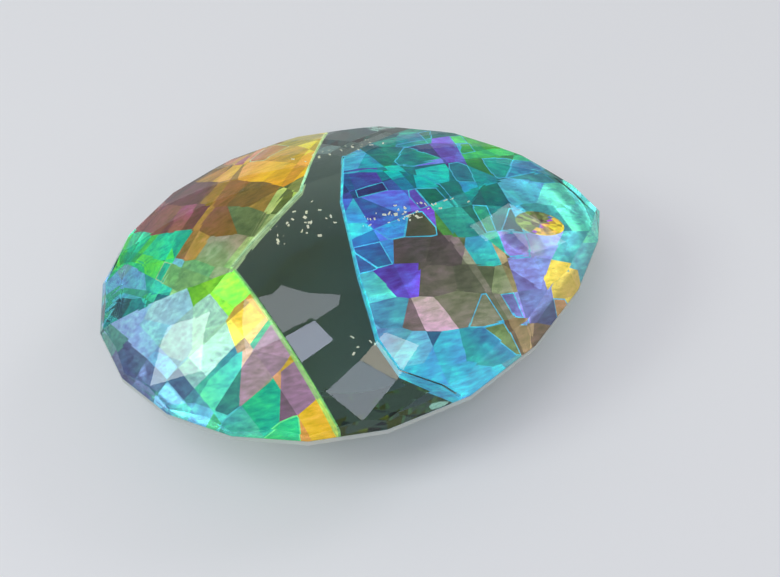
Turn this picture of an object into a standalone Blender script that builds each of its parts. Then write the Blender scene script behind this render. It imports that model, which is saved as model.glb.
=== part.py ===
"""A cut stone of rainbow quartz: one clear crystal, faceted as a blunt pear with rings of kite facets.
Three narrow fractures open at the crown and lean down into it. They carry the stone's rainbow colours.

Metres, +Z up. The long axis lies along X with the tip at +X. The stone stands on its base facet at Z = 0.
"""

import math
import random

import bmesh
import bpy
from mathutils import Matrix, Vector

# Driving dimensions, in metres
LENGTH = 0.0343
WIDTH = 0.0232
ROUND_REACH = 0.0160  # from the round end to the widest place
CROWN_HEIGHT = 0.0050  # from the girdle to the table
GIRDLE_HEIGHT = 0.0006
PAVILION_DEPTH = 0.0068  # from the girdle down to the base facet

# The outline: an ellipse at the round end, and a power of the sine at the tip that draws it to a point
GIRDLE_SIDES = 20
TIP_POWER = 1.44

# Distances from the stone's middle, as shares of its half length and half width
DOME_REACH = 1.03  # where the crown's dome, and the pavilion's bowl, come down to the girdle's level
RING_START = 0.95  # the outermost ring of kite facets
TABLE_REACH = 0.38  # the flat facet on top
BASE_REACH = 0.38  # the flat facet that the stone stands on

# Slopes from level, in degrees
BREAK_SLOPE = 62.0  # the row of small facets on top of the girdle
LOWER_SLOPE = 64.0  # the row of small facets under it

CUT_SNAP = 2e-6  # a corner this near to a cut counts as on it
OPEN_BLANK = 0.004  # how far the blank stands above and below the finished stone

# Each fracture is a shell of small flat tiles that touch a shallow dome. The dome leans down from its
# anchor towards the azimuth. The trace is where the fracture opens at the crown, and ends are the other
# lines that stop it. A line is a point and the level direction that points out of the fracture.
# Lengths are in mm.
MM = 0.001
FRACTURES = {
    "right": {
        "anchor": (-0.1, 0.0, 12.0),
        "azimuth": 0.0,
        "dip": 17.0,
        "radii": (80.0, 15.0),
        "tile": (2.3, 1.9),
        "seed": 3,
        "trace": [
            ((0.4, -9.0), (-0.44, -0.90)),
            ((-0.7, -6.7), (-0.90, -0.43)),
            ((-0.6, -3.3), (-1.0, -0.03)),
            ((-0.2, 2.4), (-0.99, 0.07)),
            ((1.0, 6.4), (-0.96, 0.29)),
        ],
        "ends": [((1.0, 6.4), (-0.45, 0.89))],
    },
    "upper_left": {
        "anchor": (-4.55, 1.6, 12.0),
        "azimuth": 139.5,
        "dip": 31.0,
        "radii": (60.0, 15.0),
        "tile": (2.6, 2.2),
        "seed": 7,
        "trace": [((-2.6, 3.9), (0.60, -0.80)), ((-2.6, 3.9), (0.89, -0.45))],
        "ends": [((-8.2, -0.25), (-0.17, -0.98))],
    },
    "lower_left": {
        "anchor": (-8.0, -1.3, 11.3),
        "azimuth": 201.2,
        "dip": 31.0,
        "radii": (60.0, 13.0),
        "tile": (2.6, 2.2),
        "seed": 11,
        "trace": [((-8.0, -0.3), (0.94, 0.34))],
        "ends": [((-8.2, -0.35), (0.17, 0.98))],
    },
}
FIRST_COLUMN = -2  # columns are counted down the slope from the anchor, rows along the level
LAST_COLUMN = 8
ROWS = 7  # on either side of the anchor
TILE_CHANCE = 0.2  # how far a tile may lie from its place, as a share of its size
ROW_SHIFT = 0.5  # every other row lies this share of a tile further down
UPPER_SIDE = 0.5  # a face whose normal points up less than this is no tile but a side of the block
WELD = 0.02 * MM  # corners nearer to each other than this become one
GAP = 0.1 * MM
FRACTURE_INSET = 0.3 * MM  # a fracture stops this far inside the facets
END_INSET = 0.15 * MM  # and this far before the lines that end it
LIP_HEIGHT = 4 * MM  # the lip goes up through the crown, so that the fracture is open there

GIRDLE_BOTTOM = PAVILION_DEPTH
GIRDLE_TOP = PAVILION_DEPTH + GIRDLE_HEIGHT
TABLE_Z = GIRDLE_TOP + CROWN_HEIGHT
WIDEST_X = ROUND_REACH - LENGTH / 2
STEP = 2 * math.pi / GIRDLE_SIDES
# With each ring this much smaller than the last, and half a step round from it, four facets meet at
# every corner.
RING_RATIO = (1 - math.sin(STEP / 2)) / math.cos(STEP / 2)


def clear_scene():
    for thing in list(bpy.data.objects):
        bpy.data.objects.remove(thing)


def outline_point(turn, z):
    """The outline's point at an angle round it, from 0 at the tip."""
    towards_tip = math.cos(turn) > 0
    reach = LENGTH - ROUND_REACH if towards_tip else ROUND_REACH
    power = TIP_POWER if towards_tip else 1.0
    across = math.copysign(abs(math.sin(turn)) ** power, math.sin(turn))
    return Vector((WIDEST_X + reach * math.cos(turn), WIDTH / 2 * across, z))


def girdle_corners(z):
    return [outline_point(STEP * i, z) for i in range(GIRDLE_SIDES)]


def blank():
    """The crystal sawn to the outline, still flat above and below."""
    bm = bmesh.new()
    low = [bm.verts.new(point) for point in girdle_corners(-OPEN_BLANK)]
    high = [bm.verts.new(point) for point in girdle_corners(TABLE_Z + OPEN_BLANK)]
    bm.faces.new(low[::-1])
    bm.faces.new(high)
    for i in range(GIRDLE_SIDES):
        following = (i + 1) % GIRDLE_SIDES
        bm.faces.new((low[i], low[following], high[following], high[i]))
    bm.normal_update()
    return bm


def cut(bm, point, normal, fill=True):
    """Takes away all that lies beyond a plane, as a grinding lap does, and closes the cut with one face."""
    everything = bm.verts[:] + bm.edges[:] + bm.faces[:]
    done = bmesh.ops.bisect_plane(
        bm, geom=everything, dist=CUT_SNAP, plane_co=point, plane_no=normal, clear_outer=True
    )
    rim = [part for part in done["geom_cut"] if isinstance(part, bmesh.types.BMEdge) and part.is_boundary]
    if fill and rim:
        bmesh.ops.holes_fill(bm, edges=rim, sides=0)


def grind_girdle_row(bm, z, slope, side):
    """A small facet along each side of the girdle, on top of it (side 1) or under it (side -1)."""
    corners = girdle_corners(z)
    angle = math.radians(slope)
    for first, second in zip(corners, corners[1:] + corners[:1]):
        along = (second - first).normalized()
        outward = Vector((along.y, -along.x, 0))
        normal = outward * math.sin(angle) + Vector((0, 0, side * math.cos(angle)))
        cut(bm, (first + second) / 2, normal)


def grind_rings(bm, girdle_z, height, flat_reach, side):
    """Rings of kite facets from the girdle to the flat facet on top (side 1) or underneath (side -1).
    Each facet touches a dome, which is level in the middle and steepest at the girdle."""
    reach_x = LENGTH / 2 * DOME_REACH
    reach_y = WIDTH / 2 * DOME_REACH
    apex = height / (1 - (flat_reach / DOME_REACH) ** 2)
    share = RING_START
    turn = 0.0
    while share > flat_reach:
        for i in range(GIRDLE_SIDES):
            angle = turn + STEP * i
            x = LENGTH / 2 * share * math.cos(angle)
            y = WIDTH / 2 * share * math.sin(angle)
            rise = apex * (1 - (x / reach_x) ** 2 - (y / reach_y) ** 2)
            lean = Vector((2 * apex * x / reach_x**2, 2 * apex * y / reach_y**2, side))
            cut(bm, Vector((x, y, girdle_z + side * rise)), lean.normalized())
        share *= RING_RATIO
        turn += STEP / 2


def facet_planes(bm):
    return [(face.normal.copy(), face.normal.dot(face.calc_center_median())) for face in bm.faces]


def upright(line):
    """The plane that stands on a line: a point on it and its normal."""
    (x, y), (out_x, out_y) = line
    return Vector((x, y, 0)) * MM, Vector((out_x, out_y, 0)).normalized()


def tiled_dome(fracture):
    """The upper faces of a block that is ground with many planes, each of which touches the dome."""
    chance = random.Random(fracture["seed"])
    along_dip, along_level = fracture["radii"]
    bm = bmesh.new()
    block = LENGTH + WIDTH
    bmesh.ops.create_cube(bm, size=block)
    bmesh.ops.translate(bm, verts=bm.verts, vec=(0, 0, OPEN_BLANK - block / 2))
    for column in range(FIRST_COLUMN, LAST_COLUMN + 1):
        for row in range(-ROWS, ROWS + 1):
            shift = ROW_SHIFT * (row % 2)
            u = (column + shift + chance.uniform(-TILE_CHANCE, TILE_CHANCE)) * fracture["tile"][0]
            v = (row + chance.uniform(-TILE_CHANCE, TILE_CHANCE)) * fracture["tile"][1]
            touch = Vector((u, v, -u * u / (2 * along_dip) - v * v / (2 * along_level))) * MM
            cut(bm, touch, Vector((u / along_dip, v / along_level, 1)).normalized())
    sides = [face for face in bm.faces if face.normal.z < UPPER_SIDE]
    bmesh.ops.delete(bm, geom=sides, context="FACES")
    turn = Matrix.Rotation(math.radians(fracture["azimuth"]), 4, "Z")
    lean = Matrix.Rotation(math.radians(fracture["dip"]), 4, "Y")
    bmesh.ops.transform(bm, matrix=turn @ lean, verts=bm.verts)
    bmesh.ops.translate(bm, verts=bm.verts, vec=Vector(fracture["anchor"]) * MM)
    return bm


def build_wall(bm, rim, moved):
    """A face from each edge of the rim to the same edge among the moved corners. It goes round the other
    way from the face that it joins, so that both face out."""
    for loop in rim:
        first = loop.vert
        second = loop.link_loop_next.vert
        bm.faces.new((second, first, moved[first], moved[second]))


def lies_on(edge, line):
    point, out = upright(line)
    return all(abs((corner.co - point).dot(out)) < WELD for corner in edge.verts)


def raise_lip(bm, trace):
    """Stands a wall on the edges along the trace."""
    edges = [edge for edge in bm.edges if edge.is_boundary and any(lies_on(edge, line) for line in trace)]
    rim = [edge.link_loops[0] for edge in edges]
    moved = {}
    for edge in edges:
        for corner in edge.verts:
            if corner not in moved:
                moved[corner] = bm.verts.new(corner.co + Vector((0, 0, LIP_HEIGHT)))
    build_wall(bm, rim, moved)


def thicken(bm, across):
    """Gives an open surface a second wall, a step away from the first, and closes the rim between them."""
    surface = bm.faces[:]
    rim = [edge.link_loops[0] for edge in bm.edges if edge.is_boundary]
    moved = {corner: bm.verts.new(corner.co + across) for corner in bm.verts[:]}
    build_wall(bm, rim, moved)
    for face in surface:
        bm.faces.new([moved[corner] for corner in face.verts][::-1])
    bm.normal_update()


def fracture_cutter(name, planes):
    """The narrow gap of one fracture, as a closed body that is cut out of the stone."""
    fracture = FRACTURES[name]
    bm = tiled_dome(fracture)
    for normal, distance in planes:
        cut(bm, normal * (distance - FRACTURE_INSET), normal, fill=False)
    for line in fracture["ends"]:
        point, out = upright(line)
        cut(bm, point - out * END_INSET, out, fill=False)
    for line in fracture["trace"]:
        cut(bm, *upright(line), fill=False)
    bmesh.ops.remove_doubles(bm, verts=bm.verts, dist=WELD)
    raise_lip(bm, fracture["trace"])
    # The second wall lies under the tiles and outside the lip, so that the gap is on one side of both.
    angle = math.radians(fracture["azimuth"])
    thicken(bm, Vector((-math.cos(angle), -math.sin(angle), -1)) * GAP)
    mesh = bpy.data.meshes.new(name + "_fracture_cutter")
    bm.to_mesh(mesh)
    bm.free()
    cutter = bpy.data.objects.new(mesh.name, mesh)
    cutter.hide_render = True
    cutter.display_type = "WIRE"
    bpy.context.scene.collection.objects.link(cutter)
    return cutter


def quartz_material():
    material = bpy.data.materials.new("clear_quartz")
    material.use_nodes = True
    shader = material.node_tree.nodes["Principled BSDF"]
    shader.inputs["Base Color"].default_value = (0.86, 0.93, 0.91, 1)
    shader.inputs["Roughness"].default_value = 0.02
    shader.inputs["Metallic"].default_value = 0.0
    shader.inputs["IOR"].default_value = 1.544
    shader.inputs["Transmission Weight"].default_value = 1.0
    return material


def quartz_stone():
    """The whole stone is one crystal, so it is one object."""
    bm = blank()
    grind_rings(bm, GIRDLE_TOP, CROWN_HEIGHT, TABLE_REACH, side=1)
    grind_girdle_row(bm, GIRDLE_TOP, BREAK_SLOPE, side=1)
    cut(bm, Vector((0, 0, TABLE_Z)), Vector((0, 0, 1)))
    grind_rings(bm, GIRDLE_BOTTOM, PAVILION_DEPTH, BASE_REACH, side=-1)
    grind_girdle_row(bm, GIRDLE_BOTTOM, LOWER_SLOPE, side=-1)
    cut(bm, Vector((0, 0, 0)), Vector((0, 0, -1)))
    planes = facet_planes(bm)
    mesh = bpy.data.meshes.new("faceted_quartz")
    bm.to_mesh(mesh)
    bm.free()
    mesh.materials.append(quartz_material())
    stone = bpy.data.objects.new("faceted_quartz", mesh)
    bpy.context.scene.collection.objects.link(stone)
    for name in FRACTURES:
        gap = stone.modifiers.new(name + "_fracture", "BOOLEAN")
        gap.operation = "DIFFERENCE"
        gap.solver = "EXACT"
        gap.object = fracture_cutter(name, planes)


def main():
    clear_scene()
    quartz_stone()


main()
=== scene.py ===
# %% [markdown]
# # A cut rainbow quartz
#
# This lesson dresses a cut stone: one clear quartz crystal, ground with flat facets in rings, and full of
# rainbow colour. The colour is no pigment. It comes from thin cracks inside the crystal, so narrow that
# light reflected from their two walls interferes, as it does on a soap film.
#
# The first cell loads the stone itself. Its facets are already exact, so its mesh is never changed here:
# it only gets a better material. The stone's box is measured, and its size is printed.

# %% Load the stone
import math
import random

import bmesh
import bpy
from mathutils import Matrix, Vector


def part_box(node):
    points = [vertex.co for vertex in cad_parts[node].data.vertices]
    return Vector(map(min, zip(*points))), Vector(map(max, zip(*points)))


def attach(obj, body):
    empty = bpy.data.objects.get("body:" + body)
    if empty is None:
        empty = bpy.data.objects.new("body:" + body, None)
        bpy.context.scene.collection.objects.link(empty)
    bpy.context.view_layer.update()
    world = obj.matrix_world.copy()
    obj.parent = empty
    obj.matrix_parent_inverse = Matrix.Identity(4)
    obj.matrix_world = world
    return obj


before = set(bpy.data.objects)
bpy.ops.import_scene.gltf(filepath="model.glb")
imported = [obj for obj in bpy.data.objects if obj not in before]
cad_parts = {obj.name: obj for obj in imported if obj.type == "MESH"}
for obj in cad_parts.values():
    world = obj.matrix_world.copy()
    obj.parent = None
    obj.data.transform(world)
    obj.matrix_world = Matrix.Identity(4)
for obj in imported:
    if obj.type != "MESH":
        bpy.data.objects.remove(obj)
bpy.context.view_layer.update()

MM = 0.001
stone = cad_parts["faceted_quartz"]
low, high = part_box("faceted_quartz")
size = [high[i] - low[i] for i in range(3)]
print("stone, mm:", [round(side / MM, 2) for side in size])

# %% [markdown]
# ## Camera
#
# The picture looks down at the stone from about sixty degrees above the level, with the tip of the stone
# turned a little away. The camera's place is given in the stone's own millimetres, and its lens follows
# from how strongly the picture's straight lines draw together.

# %% Camera
CAMERA_PLACE = Vector((-10.17, -43.79, 82.8)) * MM
CAMERA_TILT = 30.0
CAMERA_TURN = -15.9
LENS = 61.06
SENSOR = 36.0
CLIP_START = 0.5 * MM

camera = bpy.data.objects.new("camera", bpy.data.cameras.new("camera"))
bpy.context.scene.collection.objects.link(camera)
camera.location = CAMERA_PLACE
camera.rotation_euler = (math.radians(CAMERA_TILT), 0, math.radians(CAMERA_TURN))
camera.data.lens = LENS
camera.data.sensor_width = SENSOR
camera.data.clip_start = CLIP_START
bpy.context.scene.camera = camera
print("camera", [round(v / MM, 1) for v in camera.location], "mm from the base facet's middle")

# %% [markdown]
# ## Floor
#
# A clear stone has no look of its own: it shows the room, bent and mirrored. So the studio is built for
# it, and it starts with a plain pale floor, a little below the base facet.

# %% Floor
FLOOR_SIZE = 1.2
FLOOR_GAP = 0.05 * MM
FLOOR_COLOUR = (0.88, 0.87, 0.86)
FLOOR_ROUGHNESS = 0.6


def plain_material(name, colour, roughness):
    material = bpy.data.materials.new(name)
    material.use_nodes = True
    shader = material.node_tree.nodes["Principled BSDF"]
    shader.inputs["Base Color"].default_value = (*colour, 1)
    shader.inputs["Roughness"].default_value = roughness
    return material


def new_object(name, bm):
    """A mesh object from a bmesh, linked to the scene, with its place in its mesh."""
    mesh = bpy.data.meshes.new(name)
    bm.to_mesh(mesh)
    bm.free()
    made = bpy.data.objects.new(name, mesh)
    bpy.context.scene.collection.objects.link(made)
    return made


bm = bmesh.new()
bmesh.ops.create_grid(bm, x_segments=1, y_segments=1, size=FLOOR_SIZE / 2)
bmesh.ops.translate(bm, verts=bm.verts, vec=(0, 0, -FLOOR_GAP))
floor = new_object("floor", bm)
floor.data.materials.append(plain_material("pale_floor", FLOOR_COLOUR, FLOOR_ROUGHNESS))
print("floor", FLOOR_SIZE, "m wide")

# %% [markdown]
# ## Lights
#
# Each facet is a small flat mirror that shows one direction of the room. The lights are soft boxes, and
# most of them stand where a facet mirrors them towards the camera: a pale green glare at the round end,
# and grey, lavender and warm patches along the front. The other facets mirror the room, which is even and
# not too bright.

# %% Lights


def softbox(name, azimuth, elevation, distance, width, height, power, colour):
    """An area light that faces the stone from a compass direction and a height angle, in degrees."""
    light = bpy.data.lights.new(name, "AREA")
    light.shape = "RECTANGLE"
    light.size = width
    light.size_y = height
    light.energy = power
    light.color = colour
    lamp = bpy.data.objects.new(name, light)
    a, e = math.radians(azimuth), math.radians(elevation)
    away = Vector((math.cos(e) * math.cos(a), math.cos(e) * math.sin(a), math.sin(e)))
    lamp.location = away * distance
    lamp.rotation_euler = away.to_track_quat("Z", "Y").to_euler()
    bpy.context.scene.collection.objects.link(lamp)


LIGHTS = [
    # name, azimuth, elevation, distance, width and height in metres, watts, colour
    ("key_light", 178, 42, 0.35, 0.10, 0.10, 0.20, (0.88, 1.0, 0.95)),
    ("front_light", -121, 62, 0.40, 0.10, 0.08, 0.17, (0.74, 0.76, 1.0)),
    ("low_light", -94, 42, 0.40, 0.08, 0.06, 0.06, (0.80, 0.82, 1.0)),
    ("warm_light", -77, 51, 0.40, 0.045, 0.045, 0.03, (1.0, 0.84, 0.68)),
    ("side_light", 20, 35, 0.40, 0.10, 0.16, 0.14, (0.95, 0.97, 1.0)),
    ("grey_light", -174, 72, 0.40, 0.16, 0.16, 0.27, (0.86, 0.87, 1.0)),
]
ROOM_COLOUR = (0.41, 0.42, 0.43)
BOUNCES = 24  # enough for light that is mirrored round inside the crystal
GLOSSY_BOUNCES = 12

for values in LIGHTS:
    softbox(*values)

world = bpy.data.worlds.new("studio")
world.use_nodes = True
world.node_tree.nodes["Background"].inputs["Color"].default_value = (*ROOM_COLOUR, 1)
world.node_tree.nodes["Background"].inputs["Strength"].default_value = 1.0
bpy.context.scene.world = world
bpy.context.scene.view_settings.view_transform = "Standard"
bpy.context.scene.cycles.max_bounces = BOUNCES
bpy.context.scene.cycles.transmission_bounces = BOUNCES
bpy.context.scene.cycles.glossy_bounces = GLOSSY_BOUNCES
print(len(LIGHTS), "soft lights")

# %% [markdown]
# ## The colours of a thin crack
#
# Two reflections, one from each wall of the crack, meet again with a small delay. A wavelength is
# brightest where the delay is an odd number of half waves. So the colour at a place needs only one number,
# the delay in nanometres, and three sines turn it into red, green and blue. That gives the order of
# colours that a soap film has. A second number, the paleness, mixes white into the colour.
#
# The group takes both and gives the colour, so each crack can use it with its own values. The cell prints
# three delays as a trial: an orange, a blue and a green.

# %% A group that turns a delay into a colour
RED_NM, GREEN_NM, BLUE_NM = 620.0, 540.0, 455.0


def math_node(tree, operation, first, second=None, third=None):
    """A Math node. A number is set on the socket, and a socket is linked to it."""
    node = tree.nodes.new("ShaderNodeMath")
    node.operation = operation
    for socket, value in zip(node.inputs, (first, second, third)):
        if isinstance(value, bpy.types.NodeSocket):
            tree.links.new(value, socket)
        elif value is not None:
            socket.default_value = value
    return node.outputs[0]


def interference_group():
    group = bpy.data.node_groups.new("interference_colour", "ShaderNodeTree")
    group.interface.new_socket(name="Delay", in_out="INPUT", socket_type="NodeSocketFloat")
    group.interface.new_socket(name="Paleness", in_out="INPUT", socket_type="NodeSocketFloat")
    group.interface.new_socket(name="Color", in_out="OUTPUT", socket_type="NodeSocketColor")
    inside = group.nodes.new("NodeGroupInput")
    outside = group.nodes.new("NodeGroupOutput")
    joined = group.nodes.new("ShaderNodeCombineColor")
    for channel, wavelength in enumerate((RED_NM, GREEN_NM, BLUE_NM)):
        phase = math_node(group, "MULTIPLY", inside.outputs["Delay"], math.pi / wavelength)
        wave = math_node(group, "SINE", phase)
        bright = math_node(group, "MULTIPLY", wave, wave)
        dark = math_node(group, "SUBTRACT", 1.0, bright)
        pale = math_node(group, "MULTIPLY_ADD", dark, inside.outputs["Paleness"], bright)
        group.links.new(pale, joined.inputs[channel])
    group.links.new(joined.outputs[0], outside.inputs["Color"])
    return group


INTERFERENCE = interference_group()
TRIAL_DELAYS = (945, 1160, 1290)
for delay in TRIAL_DELAYS:
    strengths = [math.sin(math.pi * delay / wave) ** 2 for wave in (RED_NM, GREEN_NM, BLUE_NM)]
    print(delay, "nm gives red, green, blue:", [round(strength, 2) for strength in strengths])

# %% [markdown]
# ## The fractures
#
# A crack in quartz is one curved, shell-like surface. But it is only ever seen through the facets above
# it, and each facet bends the view its own way, so it looks like a mosaic of flat tiles, each with a
# colour of its own. So the crack is modelled the way it is seen.
#
# The solid stone has the three cracks as narrow gaps. The sheets that carry the colour are ground from the
# same values: a block is cut by many planes that touch one shallow dome, and only the cut faces are kept.
# The dome leans down from its anchor towards the azimuth. The trace is where the crack opens at the crown,
# and each line is a point and the level direction that points out of the crack. Lengths are in mm.

# %% The values of the fractures
FRACTURES = {
    "right": {
        "anchor": (-0.1, 0.0, 12.0),
        "azimuth": 0.0,
        "dip": 17.0,
        "radii": (80.0, 15.0),
        "tile": (2.3, 1.9),
        "seed": 3,
        "trace": [
            ((0.4, -9.0), (-0.44, -0.90)),
            ((-0.7, -6.7), (-0.90, -0.43)),
            ((-0.6, -3.3), (-1.0, -0.03)),
            ((-0.2, 2.4), (-0.99, 0.07)),
            ((1.0, 6.4), (-0.96, 0.29)),
        ],
        "ends": [((1.0, 6.4), (-0.45, 0.89))],
    },
    "upper_left": {
        "anchor": (-4.55, 1.6, 12.0),
        "azimuth": 139.5,
        "dip": 31.0,
        "radii": (60.0, 15.0),
        "tile": (2.6, 2.2),
        "seed": 7,
        "trace": [((-2.6, 3.9), (0.60, -0.80)), ((-2.6, 3.9), (0.89, -0.45))],
        "ends": [((-8.2, -0.25), (-0.17, -0.98))],
    },
    "lower_left": {
        "anchor": (-8.0, -1.3, 11.3),
        "azimuth": 201.2,
        "dip": 31.0,
        "radii": (60.0, 13.0),
        "tile": (2.6, 2.2),
        "seed": 11,
        "trace": [((-8.0, -0.3), (0.94, 0.34))],
        "ends": [((-8.2, -0.35), (0.17, 0.98))],
    },
}
FIRST_COLUMN = -2  # columns are counted down the slope from the anchor, rows along the level
LAST_COLUMN = 8
ROWS = 7  # on either side of the anchor
TILE_CHANCE = 0.2  # how far a tile may lie from its place, as a share of its size
ROW_SHIFT = 0.5  # every other row lies this share of a tile further down
UPPER_SIDE = 0.5  # a face whose normal rises less than this is no tile but a side of the block
WELD = 0.02 * MM  # corners nearer to each other than this become one
GAP = 0.1 * MM  # the second wall of a gap lies this far down and this far back from the first
LIP_HEIGHT = 4 * MM
print("fractures:", ", ".join(FRACTURES))

# %% [markdown]
# ## Sheets that fill the gaps
#
# A gap with air in it would mirror everything at a grazing view and hide the colour, which on a real crack
# comes from both walls at once. So each sheet is a little thicker than its gap and closes it, walls and
# all. It also ends a little nearer to the facets than the gap does.

# %% Helpers that grind a sheet of tiles
SHEET_INSET = 0.12 * MM  # the tiles stop this far inside the facets
END_INSET = 0.05 * MM  # and this far before the lines that end them
LIP_INSET = 0.07 * MM  # the lip stops this far inside the facets
COVER = 0.4  # how far the sheet stands out over each wall of the gap, as a share of the gap
BLOCK = 57.5 * MM
BLOCK_TOP = 4 * MM
ON_CUT = 2e-6  # a corner this near to a cut counts as on it
OUTERMOST = 5 * ON_CUT  # an outer facet has no corner of the stone this far beyond it
SAME_FACET = 3  # decimals to which two triangles of one facet have the same normal


def facet_planes():
    """The planes of the stone's outer facets, each once. The walls of the gaps have stone beyond them."""
    corners = [v.co for v in stone.data.vertices]
    planes = {}
    for face in stone.data.polygons:
        key = tuple(round(part, SAME_FACET) for part in face.normal)
        distance = face.normal.dot(face.center)
        if key not in planes and max(face.normal.dot(corner) for corner in corners) < distance + OUTERMOST:
            planes[key] = (face.normal.copy(), distance)
    return list(planes.values())


PLANES = facet_planes()
print(len(PLANES), "outer facets")


def cut(bm, point, normal, fill=False):
    """Takes away all that lies beyond a plane, and closes the cut with one face if asked."""
    everything = bm.verts[:] + bm.edges[:] + bm.faces[:]
    done = bmesh.ops.bisect_plane(
        bm, geom=everything, dist=ON_CUT, plane_co=point, plane_no=normal, clear_outer=True
    )
    rim = [part for part in done["geom_cut"] if isinstance(part, bmesh.types.BMEdge) and part.is_boundary]
    if fill and rim:
        bmesh.ops.holes_fill(bm, edges=rim, sides=0)


def upright(line):
    """The plane that stands on a line: a point on it and its normal."""
    (x, y), (out_x, out_y) = line
    return Vector((x, y, 0)) * MM, Vector((out_x, out_y, 0)).normalized()


def tiled_dome(fracture):
    """The upper faces of a block that is ground with many planes, each of which touches the dome."""
    chance = random.Random(fracture["seed"])
    along_dip, along_level = fracture["radii"]
    bm = bmesh.new()
    bmesh.ops.create_cube(bm, size=BLOCK)
    bmesh.ops.translate(bm, verts=bm.verts, vec=(0, 0, BLOCK_TOP - BLOCK / 2))
    for column in range(FIRST_COLUMN, LAST_COLUMN + 1):
        for row in range(-ROWS, ROWS + 1):
            shift = ROW_SHIFT * (row % 2)
            u = (column + shift + chance.uniform(-TILE_CHANCE, TILE_CHANCE)) * fracture["tile"][0]
            v = (row + chance.uniform(-TILE_CHANCE, TILE_CHANCE)) * fracture["tile"][1]
            touch = Vector((u, v, -u * u / (2 * along_dip) - v * v / (2 * along_level))) * MM
            cut(bm, touch, Vector((u / along_dip, v / along_level, 1)).normalized(), fill=True)
    sides = [face for face in bm.faces if face.normal.z < UPPER_SIDE]
    bmesh.ops.delete(bm, geom=sides, context="FACES")
    turn = Matrix.Rotation(math.radians(fracture["azimuth"]), 4, "Z")
    lean = Matrix.Rotation(math.radians(fracture["dip"]), 4, "Y")
    bmesh.ops.transform(bm, matrix=turn @ lean, verts=bm.verts)
    bmesh.ops.translate(bm, verts=bm.verts, vec=Vector(fracture["anchor"]) * MM)
    return bm


def face_like(bm, loops, corners):
    """A new face whose corners take the values that the given loops have."""
    face = bm.faces.new(corners)
    for made, old in zip(face.loops, loops):
        made.copy_from(old)


def build_wall(bm, rim, moved):
    """A face from each edge of the rim to the same edge among the moved corners. It goes round the other
    way from the face that it joins, so that both face out."""
    for loop in rim:
        after = loop.link_loop_next
        corners = (after.vert, loop.vert, moved[loop.vert], moved[after.vert])
        face_like(bm, (after, loop, loop, after), corners)


def lies_on(edge, line):
    point, out = upright(line)
    return all(abs((corner.co - point).dot(out)) < WELD for corner in edge.verts)


def raise_lip(bm, trace):
    """Stands a wall on the edges along the trace."""
    edges = [edge for edge in bm.edges if edge.is_boundary and any(lies_on(edge, line) for line in trace)]
    rim = [edge.link_loops[0] for edge in edges]
    moved = {}
    for edge in edges:
        for corner in edge.verts:
            if corner not in moved:
                moved[corner] = bm.verts.new(corner.co + Vector((0, 0, LIP_HEIGHT)))
    build_wall(bm, rim, moved)


def thicken(bm, across):
    """Gives an open surface a second wall, a step away from the first, and closes the rim between them."""
    surface = bm.faces[:]
    rim = [edge.link_loops[0] for edge in bm.edges if edge.is_boundary]
    moved = {corner: bm.verts.new(corner.co + across) for corner in bm.verts[:]}
    build_wall(bm, rim, moved)
    for face in surface:
        loops = list(face.loops)[::-1]
        face_like(bm, loops, [moved[loop.vert] for loop in loops])
    bm.normal_update()


def ground_sheet(fracture):
    """The tiles and the lip of one fracture, as one open surface inside the facets."""
    bm = tiled_dome(fracture)
    for normal, distance in PLANES:
        cut(bm, normal * (distance - SHEET_INSET), normal)
    for line in fracture["ends"]:
        point, out = upright(line)
        cut(bm, point - out * END_INSET, out)
    for line in fracture["trace"]:
        cut(bm, *upright(line))
    bmesh.ops.remove_doubles(bm, verts=bm.verts, dist=WELD)
    raise_lip(bm, fracture["trace"])
    for normal, distance in PLANES:
        cut(bm, normal * (distance - LIP_INSET), normal)
    return bm


# %% [markdown]
# ## Score lines
#
# Seen through the crown the tiles break up further, along straight lines that run in a few directions.
# Each sheet is scored with planes that stand upright. A score doesn't move anything: it only parts a tile
# in two, which can then have two colours.

# %% Scoring
SCORE_SWING = 7.0  # degrees


def score(bm, count, directions, spread, seed):
    """Parts the tiles along straight lines near the given compass directions, in degrees."""
    rng = random.Random(seed)
    middle = sum((v.co for v in bm.verts), Vector()) / len(bm.verts)
    for i in range(count):
        angle = math.radians(directions[i % len(directions)] + rng.gauss(0, SCORE_SWING))
        across = Vector((-math.sin(angle), math.cos(angle), 0))
        point = middle + across * rng.uniform(-spread, spread) * MM
        everything = bm.verts[:] + bm.edges[:] + bm.faces[:]
        bmesh.ops.bisect_plane(bm, geom=everything, dist=WELD, plane_co=point, plane_no=across)


# %% [markdown]
# ## Where each colour lies
#
# The width of a crack changes from place to place, and with it the delay and the colour. Each crack has
# zones: a place, how far it reaches, the delay there in nanometres, how brightly the crack mirrors and
# glows with painted light, and how pale it is. A tile takes mostly the values of its nearest zone, and a
# little chance of its own. Within a tile the delay runs on, so that one corner is a little bluer or
# greener than the other.
#
# The useful delays, in order: 900 yellow, 945 orange, 985 red, 1110 violet, 1160 blue, 1215 cyan,
# 1245 teal, 1290 green, 1390 olive, 1450 tan, 1510 mauve.

# %% Helpers that colour the tiles
RIM_WIDTH = 0.09 * MM
SMALLEST_RIMMED = 0.9 * MM * MM
NEARNESS = 14  # how strictly the nearest zone rules
TILE_SLOPE = 16.0  # nm per mm
GLOW_CHANCE = 0.45
BRIGHTEST = 1.25
LIP_SIDE = 0.3  # a face whose normal rises or falls less than this is coloured as the lip
SOFTEST = 1e-3  # keeps a weight finite in the very middle of its zone


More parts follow.
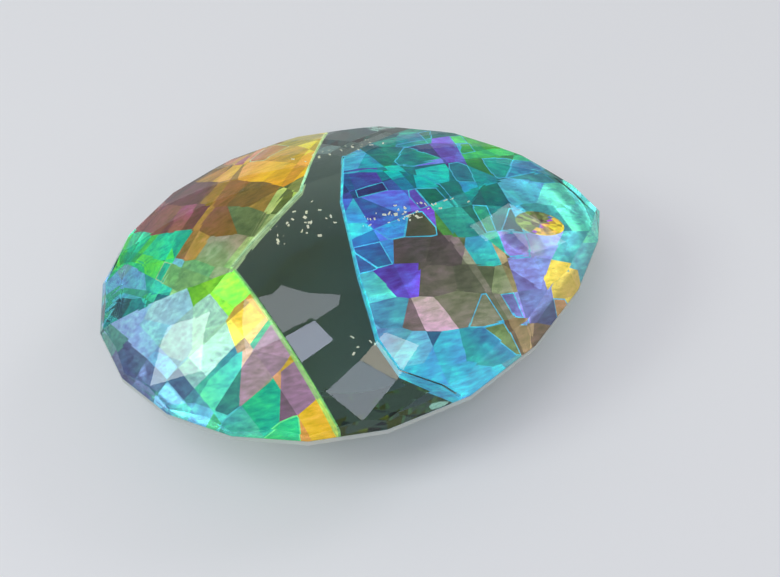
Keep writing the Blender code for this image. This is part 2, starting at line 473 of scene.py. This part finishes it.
def blended(zones, x, y):
    """The mean of the zones' values, each weighted by how near it is."""
    total = 0.0
    values = [0.0, 0.0, 0.0]
    for zone_x, zone_y, zone_reach, *zone_values in zones:
        away = ((x - zone_x) ** 2 + (y - zone_y) ** 2) / zone_reach**2
        weight = 1 / (SOFTEST + away**NEARNESS)
        total += weight
        values = [value + weight * given for value, given in zip(values, zone_values)]
    return [value / total for value in values]


def colour_tiles(bm, zones, lip, chance, edge_share, edge, seed):
    """Gives every tile its delay, glow and paleness. Some tiles get a bright rim."""
    rng = random.Random(seed)
    layers = [bm.loops.layers.float.new(name) for name in ("delay", "glow", "paleness")]

    def paint(face, delay, glow, paleness, slope=Vector()):
        middle = face.calc_center_median()
        for loop in face.loops:
            loop[layers[0]] = delay + (loop.vert.co - middle).dot(slope) / MM
            loop[layers[1]] = glow
            loop[layers[2]] = paleness

    rimmed = []
    for face in bm.faces:
        if abs(face.normal.z) < LIP_SIDE:
            paint(face, *lip)
            continue
        middle = face.calc_center_median() / MM
        delay, glow, paleness = blended(zones, middle.x, middle.y)
        turn = rng.uniform(0, 2 * math.pi)
        slope = Vector((math.cos(turn), math.sin(turn), 0)) * TILE_SLOPE * rng.random()
        lively = min(glow * math.exp(rng.gauss(0, GLOW_CHANCE)), BRIGHTEST)
        paint(face, delay + rng.gauss(0, chance), lively, paleness, slope)
        if rng.random() < edge_share and face.calc_area() > SMALLEST_RIMMED:
            rimmed.append(face)
    rims = bmesh.ops.inset_individual(bm, faces=rimmed, thickness=RIM_WIDTH, use_even_offset=False)["faces"]
    for face in rims:
        paint(face, *edge)


def finish_sheet(name, bm, azimuth):
    """Thickens the surface into a closed body that covers both walls of the gap."""
    angle = math.radians(azimuth)
    across = Vector((-math.cos(angle), -math.sin(angle), -1)) * GAP
    bmesh.ops.translate(bm, verts=bm.verts, vec=-across * COVER)
    thicken(bm, across * (1 + 2 * COVER))
    open_edges = sum(not edge.is_manifold for edge in bm.edges)
    print(name, len(bm.faces), "faces,", open_edges, "open edges,", round(bm.calc_volume() / MM**3, 1), "mm3")
    sheet = new_object(name, bm)
    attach(sheet, "root")
    return sheet


# %% [markdown]
# ## The right fracture
#
# The largest crack runs from the middle of the crown to the tip. It is blue and teal at the back, almost
# colourless in the middle where it is widest, and edged with bright cyan where it meets the crown.

# %% Right fracture
CYAN_EDGE = (1212, 1.35, 0.05)
RIGHT_ZONES = [
    (-0.3, 0.2, 0.9, 1215, 1.2, 0.05),
    (1.0, 6.2, 0.9, 1215, 1.1, 0.05),
    (-0.3, -5.0, 1.0, 1220, 1.2, 0.10),
    (0.3, -7.2, 1.2, 1215, 1.2, 0.15),
    (1.8, 3.8, 1.5, 1165, 0.40, 0.0),
    (3.0, 5.2, 1.2, 1225, 0.65, 0.0),
    (4.9, 6.9, 1.5, 1240, 0.45, 0.0),
    (7.1, 5.3, 1.1, 1145, 0.60, 0.05),
    (9.8, 5.2, 1.0, 1290, 0.90, 0.0),
    (5.8, 3.6, 1.5, 1232, 0.60, 0.0),
    (2.8, 1.8, 1.4, 1168, 0.80, 0.0),
    (4.7, 1.5, 1.1, 1135, 0.70, 0.05),
    (7.3, 0.7, 1.5, 1235, 0.45, 0.05),
    (9.4, 2.1, 1.5, 1228, 0.60, 0.0),
    (1.5, -0.8, 1.2, 1190, 0.90, 0.0),
    (4.2, -2.7, 1.9, 1470, 0.17, 0.25),
    (1.8, -4.0, 1.1, 1150, 0.55, 0.0),
    (6.1, -4.2, 1.7, 1450, 0.22, 0.30),
    (8.1, -3.0, 0.9, 925, 0.26, 0.35),
    (7.7, -1.6, 0.9, 1240, 0.55, 0.05),
    (3.2, -5.6, 1.4, 1500, 0.24, 0.30),
    (11.0, 1.7, 1.1, 1215, 1.0, 0.10),
    (11.9, -2.9, 1.2, 1158, 0.85, 0.25),
    (9.9, -5.2, 1.2, 1158, 0.85, 0.25),
    (14.3, -1.7, 1.2, 1220, 1.0, 0.15),
    (15.4, 1.2, 1.3, 1235, 1.0, 0.15),
    (12.3, -4.6, 0.6, 915, 1.2, 0.10),
    (8.9, -7.0, 0.8, 950, 0.5, 0.30),
    (6.9, -6.4, 1.3, 1450, 0.30, 0.35),
    (7.0, -7.9, 0.8, 1215, 0.8, 0.20),
    (3.2, -7.8, 1.3, 1212, 1.1, 0.05),
    (4.9, -8.4, 1.3, 1208, 1.1, 0.05),
]
bm = ground_sheet(FRACTURES["right"])
score(bm, count=13, directions=(12, 100), spread=9, seed=21)
colour_tiles(bm, RIGHT_ZONES, lip=CYAN_EDGE, chance=10, edge_share=0.22, edge=CYAN_EDGE, seed=5)
right = finish_sheet("right_fracture", bm, FRACTURES["right"]["azimuth"])

# %% [markdown]
# ## The left fractures
#
# Two cracks share the round end and meet along a ridge. The upper one is orange and brown with a pale
# olive edge, and goes to green and cyan at the rim. The lower one runs through green, orange and mauve,
# with a band of teal below.

# %% Left fractures
OLIVE_EDGE = (1385, 0.9, 0.5)
PALE_EDGE = (1345, 0.8, 0.3)
GREEN_EDGE = (1290, 1.2, 0.1)
UPPER_ZONES = [
    (-0.4, 8.6, 1.2, 905, 1.0, 0.0),
    (-5.4, 7.1, 2.0, 943, 0.62, 0.0),
    (-2.7, 6.7, 1.3, 930, 0.80, 0.0),
    (-5.6, 4.6, 1.0, 925, 0.55, 0.10),
    (-9.2, 7.6, 1.6, 975, 0.32, 0.05),
    (-8.9, 3.1, 1.4, 945, 0.65, 0.05),
    (-3.7, 4.7, 1.3, 1395, 0.50, 0.25),
    (-6.6, 2.0, 1.3, 1385, 0.55, 0.35),
    (-8.1, 1.0, 1.0, 1440, 0.55, 0.30),
    (-11.7, 4.0, 1.2, 1290, 1.0, 0.0),
    (-10.7, 3.9, 0.8, 1290, 1.1, 0.0),
    (-13.1, 1.7, 1.3, 1250, 1.0, 0.05),
    (-14.4, 2.3, 1.2, 1215, 1.0, 0.15),
    (-15.3, 3.5, 1.2, 1200, 1.0, 0.30),
    (-10.5, 1.1, 1.1, 1330, 0.7, 0.35),
]
bm = ground_sheet(FRACTURES["upper_left"])
score(bm, count=12, directions=(48, 130, 48), spread=8, seed=22)
colour_tiles(bm, UPPER_ZONES, lip=OLIVE_EDGE, chance=14, edge_share=0.06, edge=OLIVE_EDGE, seed=8)
upper = finish_sheet("upper_left_fracture", bm, FRACTURES["upper_left"]["azimuth"])

LOWER_ZONES = [
    (-8.8, -0.9, 1.0, 1355, 0.95, 0.05),
    (-7.6, -3.4, 1.2, 935, 0.95, 0.05),
    (-8.7, -3.1, 1.1, 915, 0.85, 0.10),
    (-7.1, -5.2, 0.7, 1300, 1.0, 0.0),
    (-7.4, -6.1, 1.1, 1510, 0.70, 0.45),
    (-8.3, -5.3, 0.9, 945, 0.75, 0.35),
    (-7.9, -4.4, 0.7, 925, 0.9, 0.10),
    (-5.3, -7.9, 0.7, 1300, 0.9, 0.05),
    (-5.9, -6.8, 0.9, 920, 1.1, 0.05),
    (-8.3, -6.4, 0.9, 1505, 0.75, 0.40),
    (-7.0, -7.3, 0.8, 935, 0.9, 0.10),
    (-6.3, -7.9, 1.0, 1520, 0.70, 0.40),
    (-4.8, -9.1, 1.2, 945, 1.0, 0.0),
    (-10.9, -3.6, 1.4, 1262, 0.62, 0.50),
    (-10.4, -6.3, 1.3, 1240, 1.0, 0.10),
    (-8.0, -8.5, 1.1, 1280, 1.0, 0.0),
    (-9.1, -7.4, 1.0, 1235, 1.1, 0.10),
    (-15.6, -0.8, 1.3, 1200, 0.9, 0.30),
    (-15.1, -2.8, 1.2, 1172, 0.9, 0.28),
    (-13.0, -4.5, 1.2, 1215, 0.9, 0.20),
    (-12.6, -6.4, 1.1, 1205, 0.95, 0.15),
]
bm = ground_sheet(FRACTURES["lower_left"])
score(bm, count=13, directions=(112, 112, 25), spread=8, seed=23)
colour_tiles(bm, LOWER_ZONES, lip=PALE_EDGE, chance=14, edge_share=0.08, edge=GREEN_EDGE, seed=12)
lower = finish_sheet("lower_left_fracture", bm, FRACTURES["lower_left"]["azimuth"])

# %% [markdown]
# ## A small lens
#
# Near the tip lies one more crack, so small that it closed again all round: a flat lens of orange and
# olive. It is a flattened ball, coloured by zones as the large cracks are.

# %% Lens
ORANGE_EDGE = (930, 0.8, 0.1)
LENS_PLACE = Vector((12.0, -1.15, 9.3)) * MM
LENS_HALF = Vector((1.75, 0.85, 0.05)) * MM
LENS_TURN = -14.0
LENS_ZONES = [
    (11.0, -0.8, 0.7, 1400, 0.35, 0.15),
    (12.0, -0.9, 0.6, 1440, 0.25, 0.10),
    (12.2, -1.6, 0.6, 930, 0.9, 0.05),
    (13.1, -1.6, 0.6, 915, 1.1, 0.05),
]
LENS_TILT = 12.0
LENS_SIDES = 28
LENS_RINGS = 8


def add_ball(bm, sides, rings):
    """A ball with a radius of 1, as rings of faces between two poles."""
    top = bm.verts.new((0, 0, 1))
    bottom = bm.verts.new((0, 0, -1))
    circles = []
    for ring in range(1, rings):
        down = math.pi * ring / rings
        turns = [2 * math.pi * i / sides for i in range(sides)]
        wide = math.sin(down)
        corners = [(wide * math.cos(turn), wide * math.sin(turn), math.cos(down)) for turn in turns]
        circles.append([bm.verts.new(corner) for corner in corners])
    for i in range(sides):
        after = (i + 1) % sides
        bm.faces.new((top, circles[0][i], circles[0][after]))
        for above, below in zip(circles, circles[1:]):
            bm.faces.new((above[i], below[i], below[after], above[after]))
        bm.faces.new((circles[-1][i], bottom, circles[-1][after]))
    bm.normal_update()


bm = bmesh.new()
add_ball(bm, LENS_SIDES, LENS_RINGS)
lens_size = Matrix.Diagonal((*LENS_HALF, 1))
turned = Matrix.Rotation(math.radians(LENS_TURN), 4, "Z")
tilted = Matrix.Rotation(math.radians(LENS_TILT), 4, "Y")
lens_turn = turned @ tilted
bmesh.ops.transform(bm, matrix=Matrix.Translation(LENS_PLACE) @ lens_turn @ lens_size, verts=bm.verts)
colour_tiles(bm, LENS_ZONES, lip=ORANGE_EDGE, chance=12, edge_share=0.0, edge=ORANGE_EDGE, seed=31)
lens = new_object("lens_fracture", bm)
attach(lens, "root")
print("lens", len(lens.data.polygons), "faces")

# %% [markdown]
# ## Flecks
#
# Between the large cracks float tiny bright flecks, which are scraps of crack at many angles. They are too
# small to place one by one, so they are strewn in four clouds. Each is a thin flake with four corners.
# The flakes glow a little. This is a painted glint, for the light that each scrap catches and mirrors.

# %% Flecks
FLECK_CLOUDS = [
    # middle, spread and number of each cloud, in mm
    ((-3.3, 1.4, 11.7), (2.2, 1.3, 0.25), 30),
    ((3.6, 0.6, 11.8), (3.6, 0.8, 0.2), 46),
    ((1.4, 7.3, 10.2), (3.2, 0.6, 0.2), 26),
    ((-1.6, -6.6, 10.3), (1.4, 0.9, 0.2), 5),
]
FLECK_SEED = 41
FLECK_SMALLEST, FLECK_LARGEST = 0.06, 0.25  # lengths in mm
FLECK_THICKNESS = 0.012
FLECK_NARROWEST, FLECK_WIDEST = 0.3, 0.8  # widths, as shares of the length
FLECK_SKEW = 0.3  # as a share of the length
FLECK_TURN = 6.3  # radians, a full turn
FLECK_TILT = 0.6  # radians to either side
FLECK_ROUGHNESS = 0.3
FLECK_COLOUR = (0.95, 0.90, 0.70)
FLECK_LIGHT = (1.0, 0.93, 0.70)
FLECK_GLINT_STRENGTH = 0.35


def add_fleck(bm, middle, size, rng):
    """One thin flake with four corners, turned any way and tilted a little."""
    turned = Matrix.Rotation(rng.uniform(0, FLECK_TURN), 4, "Z")
    tilted = Matrix.Rotation(rng.uniform(-FLECK_TILT, FLECK_TILT), 4, "X")
    turn = turned @ tilted
    width = size * rng.uniform(FLECK_NARROWEST, FLECK_WIDEST)
    scale = Matrix.Diagonal((size, width, FLECK_THICKNESS * MM, 1))
    made = bmesh.ops.create_cube(bm, size=1.0)["verts"]
    for corner in made:
        corner.co.x += rng.uniform(-FLECK_SKEW, FLECK_SKEW) if corner.co.z > 0 else 0
    bmesh.ops.transform(bm, matrix=Matrix.Translation(middle) @ turn @ scale, verts=made)


rng = random.Random(FLECK_SEED)
bm = bmesh.new()
for middle, spread, number in FLECK_CLOUDS:
    for i in range(number):
        place = Vector([rng.gauss(c, s / 2) for c, s in zip(middle, spread)]) * MM
        if all(normal.dot(place) < distance - SHEET_INSET for normal, distance in PLANES):
            add_fleck(bm, place, rng.uniform(FLECK_SMALLEST, FLECK_LARGEST) * MM, rng)
bmesh.ops.recalc_face_normals(bm, faces=bm.faces)
flecks = new_object("flecks", bm)
fleck_painted_glint = plain_material("fleck_painted_glint", FLECK_COLOUR, FLECK_ROUGHNESS)
fleck_shader = fleck_painted_glint.node_tree.nodes["Principled BSDF"]
# The emission is a painted glint on each fleck. The flecks are no lamp.
fleck_shader.inputs["Emission Color"].default_value = (*FLECK_LIGHT, 1)
fleck_shader.inputs["Emission Strength"].default_value = FLECK_GLINT_STRENGTH
flecks.data.materials.append(fleck_painted_glint)
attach(flecks, "root")
print("flecks", len(flecks.data.polygons) // 6)

# %% [markdown]
# ## The film's finish
#
# The film mirrors the studio in its own colour, and it glows a little, which stands for the light that the
# whole stone gathers on it. Two textures make it uneven: soft clouds, and fine streaks that run along the
# stone from lower left to upper right, where the crack stopped and went on again as it grew.

# %% A material for the fractures
CLOUD_SCALE = 700
STREAK_SCALE = 3600
STREAK_TURN = 48.0  # degrees
STREAK_SHORTENED = 0.14
NOISE_DETAIL = 3
NOISE_MIDDLE = 0.5
STREAK_NM = 46.0
CLOUD_NM = 50.0
STREAK_GLOW = 1.2
CLOUD_GLOW = 0.8
DIMMEST = 0.1
FILM_LIGHT = 0.46
FILM_METALLIC = 0.9
FILM_ROUGHNESS = 0.25


def fracture_material(name):
    material = bpy.data.materials.new(name)
    material.use_nodes = True
    tree = material.node_tree
    shader = tree.nodes["Principled BSDF"]
    place = tree.nodes.new("ShaderNodeTexCoord").outputs["Object"]
    values = {}
    for word in ("delay", "glow", "paleness"):
        node = tree.nodes.new("ShaderNodeAttribute")
        node.attribute_name = word
        values[word] = node.outputs["Fac"]
    cloud = tree.nodes.new("ShaderNodeTexNoise")
    cloud.inputs["Scale"].default_value = CLOUD_SCALE
    cloud.inputs["Detail"].default_value = NOISE_DETAIL
    tree.links.new(place, cloud.inputs["Vector"])
    stretched = tree.nodes.new("ShaderNodeMapping")
    stretched.inputs["Rotation"].default_value = (0, 0, math.radians(-STREAK_TURN))
    stretched.inputs["Scale"].default_value = (STREAK_SHORTENED, 1, 1)
    tree.links.new(place, stretched.inputs["Vector"])
    streak = tree.nodes.new("ShaderNodeTexNoise")
    streak.inputs["Scale"].default_value = STREAK_SCALE
    streak.inputs["Detail"].default_value = NOISE_DETAIL
    tree.links.new(stretched.outputs[0], streak.inputs["Vector"])
    streaked = math_node(tree, "SUBTRACT", streak.outputs["Fac"], NOISE_MIDDLE)
    clouded = math_node(tree, "SUBTRACT", cloud.outputs["Fac"], NOISE_MIDDLE)
    delay = math_node(tree, "MULTIPLY_ADD", clouded, CLOUD_NM, values["delay"])
    delay = math_node(tree, "MULTIPLY_ADD", streaked, STREAK_NM, delay)
    patchy = math_node(tree, "MULTIPLY_ADD", streaked, STREAK_GLOW, 1.0)
    patchy = math_node(tree, "MULTIPLY_ADD", clouded, CLOUD_GLOW, patchy)
    glow = math_node(tree, "MULTIPLY", values["glow"], math_node(tree, "MAXIMUM", patchy, DIMMEST))
    colour = tree.nodes.new("ShaderNodeGroup")
    colour.node_tree = INTERFERENCE
    tree.links.new(delay, colour.inputs["Delay"])
    tree.links.new(values["paleness"], colour.inputs["Paleness"])
    lit = tree.nodes.new("ShaderNodeVectorMath")
    lit.operation = "SCALE"
    tree.links.new(colour.outputs["Color"], lit.inputs[0])
    tree.links.new(glow, lit.inputs["Scale"])
    tree.links.new(lit.outputs[0], shader.inputs["Base Color"])
    # The emission paints a glow on the film, for the light that the stone gathers on it. The film is no lamp.
    tree.links.new(lit.outputs[0], shader.inputs["Emission Color"])
    shader.inputs["Emission Strength"].default_value = FILM_LIGHT
    shader.inputs["Metallic"].default_value = FILM_METALLIC
    shader.inputs["Roughness"].default_value = FILM_ROUGHNESS
    return material


iris = fracture_material("iris_film")
for sheet in (right, upper, lower, lens):
    sheet.data.materials.append(iris)
print(iris.name, "on four pieces")

# %% [markdown]
# ## The ground girdle
#
# The girdle is the narrow rim between the upper and the lower facets. It is ground but not polished, so it
# shows as a pale thin line all round. It follows the stone's outline: half an ellipse at the round end,
# and a power of the sine at the other, which draws it to the tip.

# %% Girdle band
LENGTH = 34.3 * MM
WIDTH = 23.2 * MM
ROUND_REACH = 16.0 * MM
GIRDLE_SIDES = 20
TIP_POWER = 1.44
WIDEST_X = ROUND_REACH - LENGTH / 2
GIRDLE_LOW, GIRDLE_HIGH = 6.83 * MM, 7.37 * MM
BAND_OUT = 0.015 * MM
BAND_IN = 0.04 * MM
BAND_PROFILE = [
    (GIRDLE_LOW, -BAND_IN),
    (GIRDLE_LOW, BAND_OUT),
    (GIRDLE_HIGH, BAND_OUT),
    (GIRDLE_HIGH, -BAND_IN),
]
QUARTZ_IOR = 1.544
GROUND_COLOUR = (0.80, 0.84, 0.80)
GROUND_ROUGHNESS = 0.55
GROUND_TRANSMISSION = 0.35


def outline_point(turn, z, out):
    """A point of the stone's outline, moved out of the stone by a small distance."""
    towards_tip = math.cos(turn) > 0
    reach = LENGTH - ROUND_REACH if towards_tip else ROUND_REACH
    power = TIP_POWER if towards_tip else 1.0
    across = math.copysign(abs(math.sin(turn)) ** power, math.sin(turn))
    return Vector((WIDEST_X + (reach + out) * math.cos(turn), (WIDTH / 2 + out) * across, z))


bm = bmesh.new()
rings = []
for z, out in BAND_PROFILE:
    turns = [2 * math.pi * i / GIRDLE_SIDES for i in range(GIRDLE_SIDES)]
    rings.append([bm.verts.new(outline_point(turn, z, out)) for turn in turns])
for first, second in zip(rings, rings[1:] + rings[:1]):
    for i in range(GIRDLE_SIDES):
        after = (i + 1) % GIRDLE_SIDES
        bm.faces.new((first[i], first[after], second[after], second[i]))
bmesh.ops.recalc_face_normals(bm, faces=bm.faces)
girdle_band = new_object("girdle_band", bm)
girdle_band.data.materials.append(plain_material("ground_quartz", GROUND_COLOUR, GROUND_ROUGHNESS))
ground = girdle_band.data.materials[0].node_tree.nodes["Principled BSDF"]
ground.inputs["Transmission Weight"].default_value = GROUND_TRANSMISSION
ground.inputs["IOR"].default_value = QUARTZ_IOR
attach(girdle_band, "root")
print("girdle band", len(girdle_band.data.polygons), "faces")

# %% [markdown]
# ## The clear crystal
#
# The crystal itself is plain glass: full transmission, the index of quartz, and a faint green grey that
# deepens with thickness. The facets have a polish that isn't quite flat, and the thin band of the girdle
# is left ground, so it is frosted and catches the light as a pale line round the stone.

# %% The clear crystal
GIRDLE_MIDDLE = 7.1 * MM
GIRDLE_HALF = 0.31 * MM
GIRDLE_ROUGHNESS = 0.55
CRYSTAL_COLOUR = (0.97, 0.99, 0.98)
THICK_COLOUR = (0.54, 0.66, 0.61)
THICK_DENSITY = 195.0
POLISH_SCALE = 900
POLISH_DETAIL = 4
POLISH_STRENGTH = 0.05
POLISH_DEPTH = 0.01 * MM  # the facets look uneven by this much
EDGE_RADIUS = 0.05 * MM  # the edges look rounded by this much
EDGE_SAMPLES = 4


def quartz():
    material = bpy.data.materials.new("clear_quartz_finish")
    material.use_nodes = True
    tree = material.node_tree
    shader = tree.nodes["Principled BSDF"]
    shader.inputs["Base Color"].default_value = (*CRYSTAL_COLOUR, 1)
    shader.inputs["IOR"].default_value = QUARTZ_IOR
    shader.inputs["Transmission Weight"].default_value = 1.0
    place = tree.nodes.new("ShaderNodeTexCoord").outputs["Object"]
    parts = tree.nodes.new("ShaderNodeSeparateXYZ")
    tree.links.new(place, parts.inputs[0])
    off = math_node(tree, "ABSOLUTE", math_node(tree, "SUBTRACT", parts.outputs["Z"], GIRDLE_MIDDLE))
    girdle = math_node(tree, "LESS_THAN", off, GIRDLE_HALF)
    tree.links.new(math_node(tree, "MULTIPLY", girdle, GIRDLE_ROUGHNESS), shader.inputs["Roughness"])
    rub = tree.nodes.new("ShaderNodeTexNoise")
    rub.inputs["Scale"].default_value = POLISH_SCALE
    rub.inputs["Detail"].default_value = POLISH_DETAIL
    tree.links.new(place, rub.inputs["Vector"])
    edge = tree.nodes.new("ShaderNodeBevel")
    edge.samples = EDGE_SAMPLES
    edge.inputs["Radius"].default_value = EDGE_RADIUS
    bump = tree.nodes.new("ShaderNodeBump")
    tree.links.new(edge.outputs["Normal"], bump.inputs["Normal"])
    bump.inputs["Strength"].default_value = POLISH_STRENGTH
    bump.inputs["Distance"].default_value = POLISH_DEPTH
    tree.links.new(rub.outputs["Fac"], bump.inputs["Height"])
    tree.links.new(bump.outputs["Normal"], shader.inputs["Normal"])
    absorb = tree.nodes.new("ShaderNodeVolumeAbsorption")
    absorb.inputs["Color"].default_value = (*THICK_COLOUR, 1)
    absorb.inputs["Density"].default_value = THICK_DENSITY
    tree.links.new(absorb.outputs[0], tree.nodes["Material Output"].inputs["Volume"])
    return material


stone.data.materials.clear()
stone.data.materials.append(quartz())
for face in stone.data.polygons:
    face.use_smooth = False
print(stone.data.materials[0].name, "on", len(stone.data.polygons), "triangles")
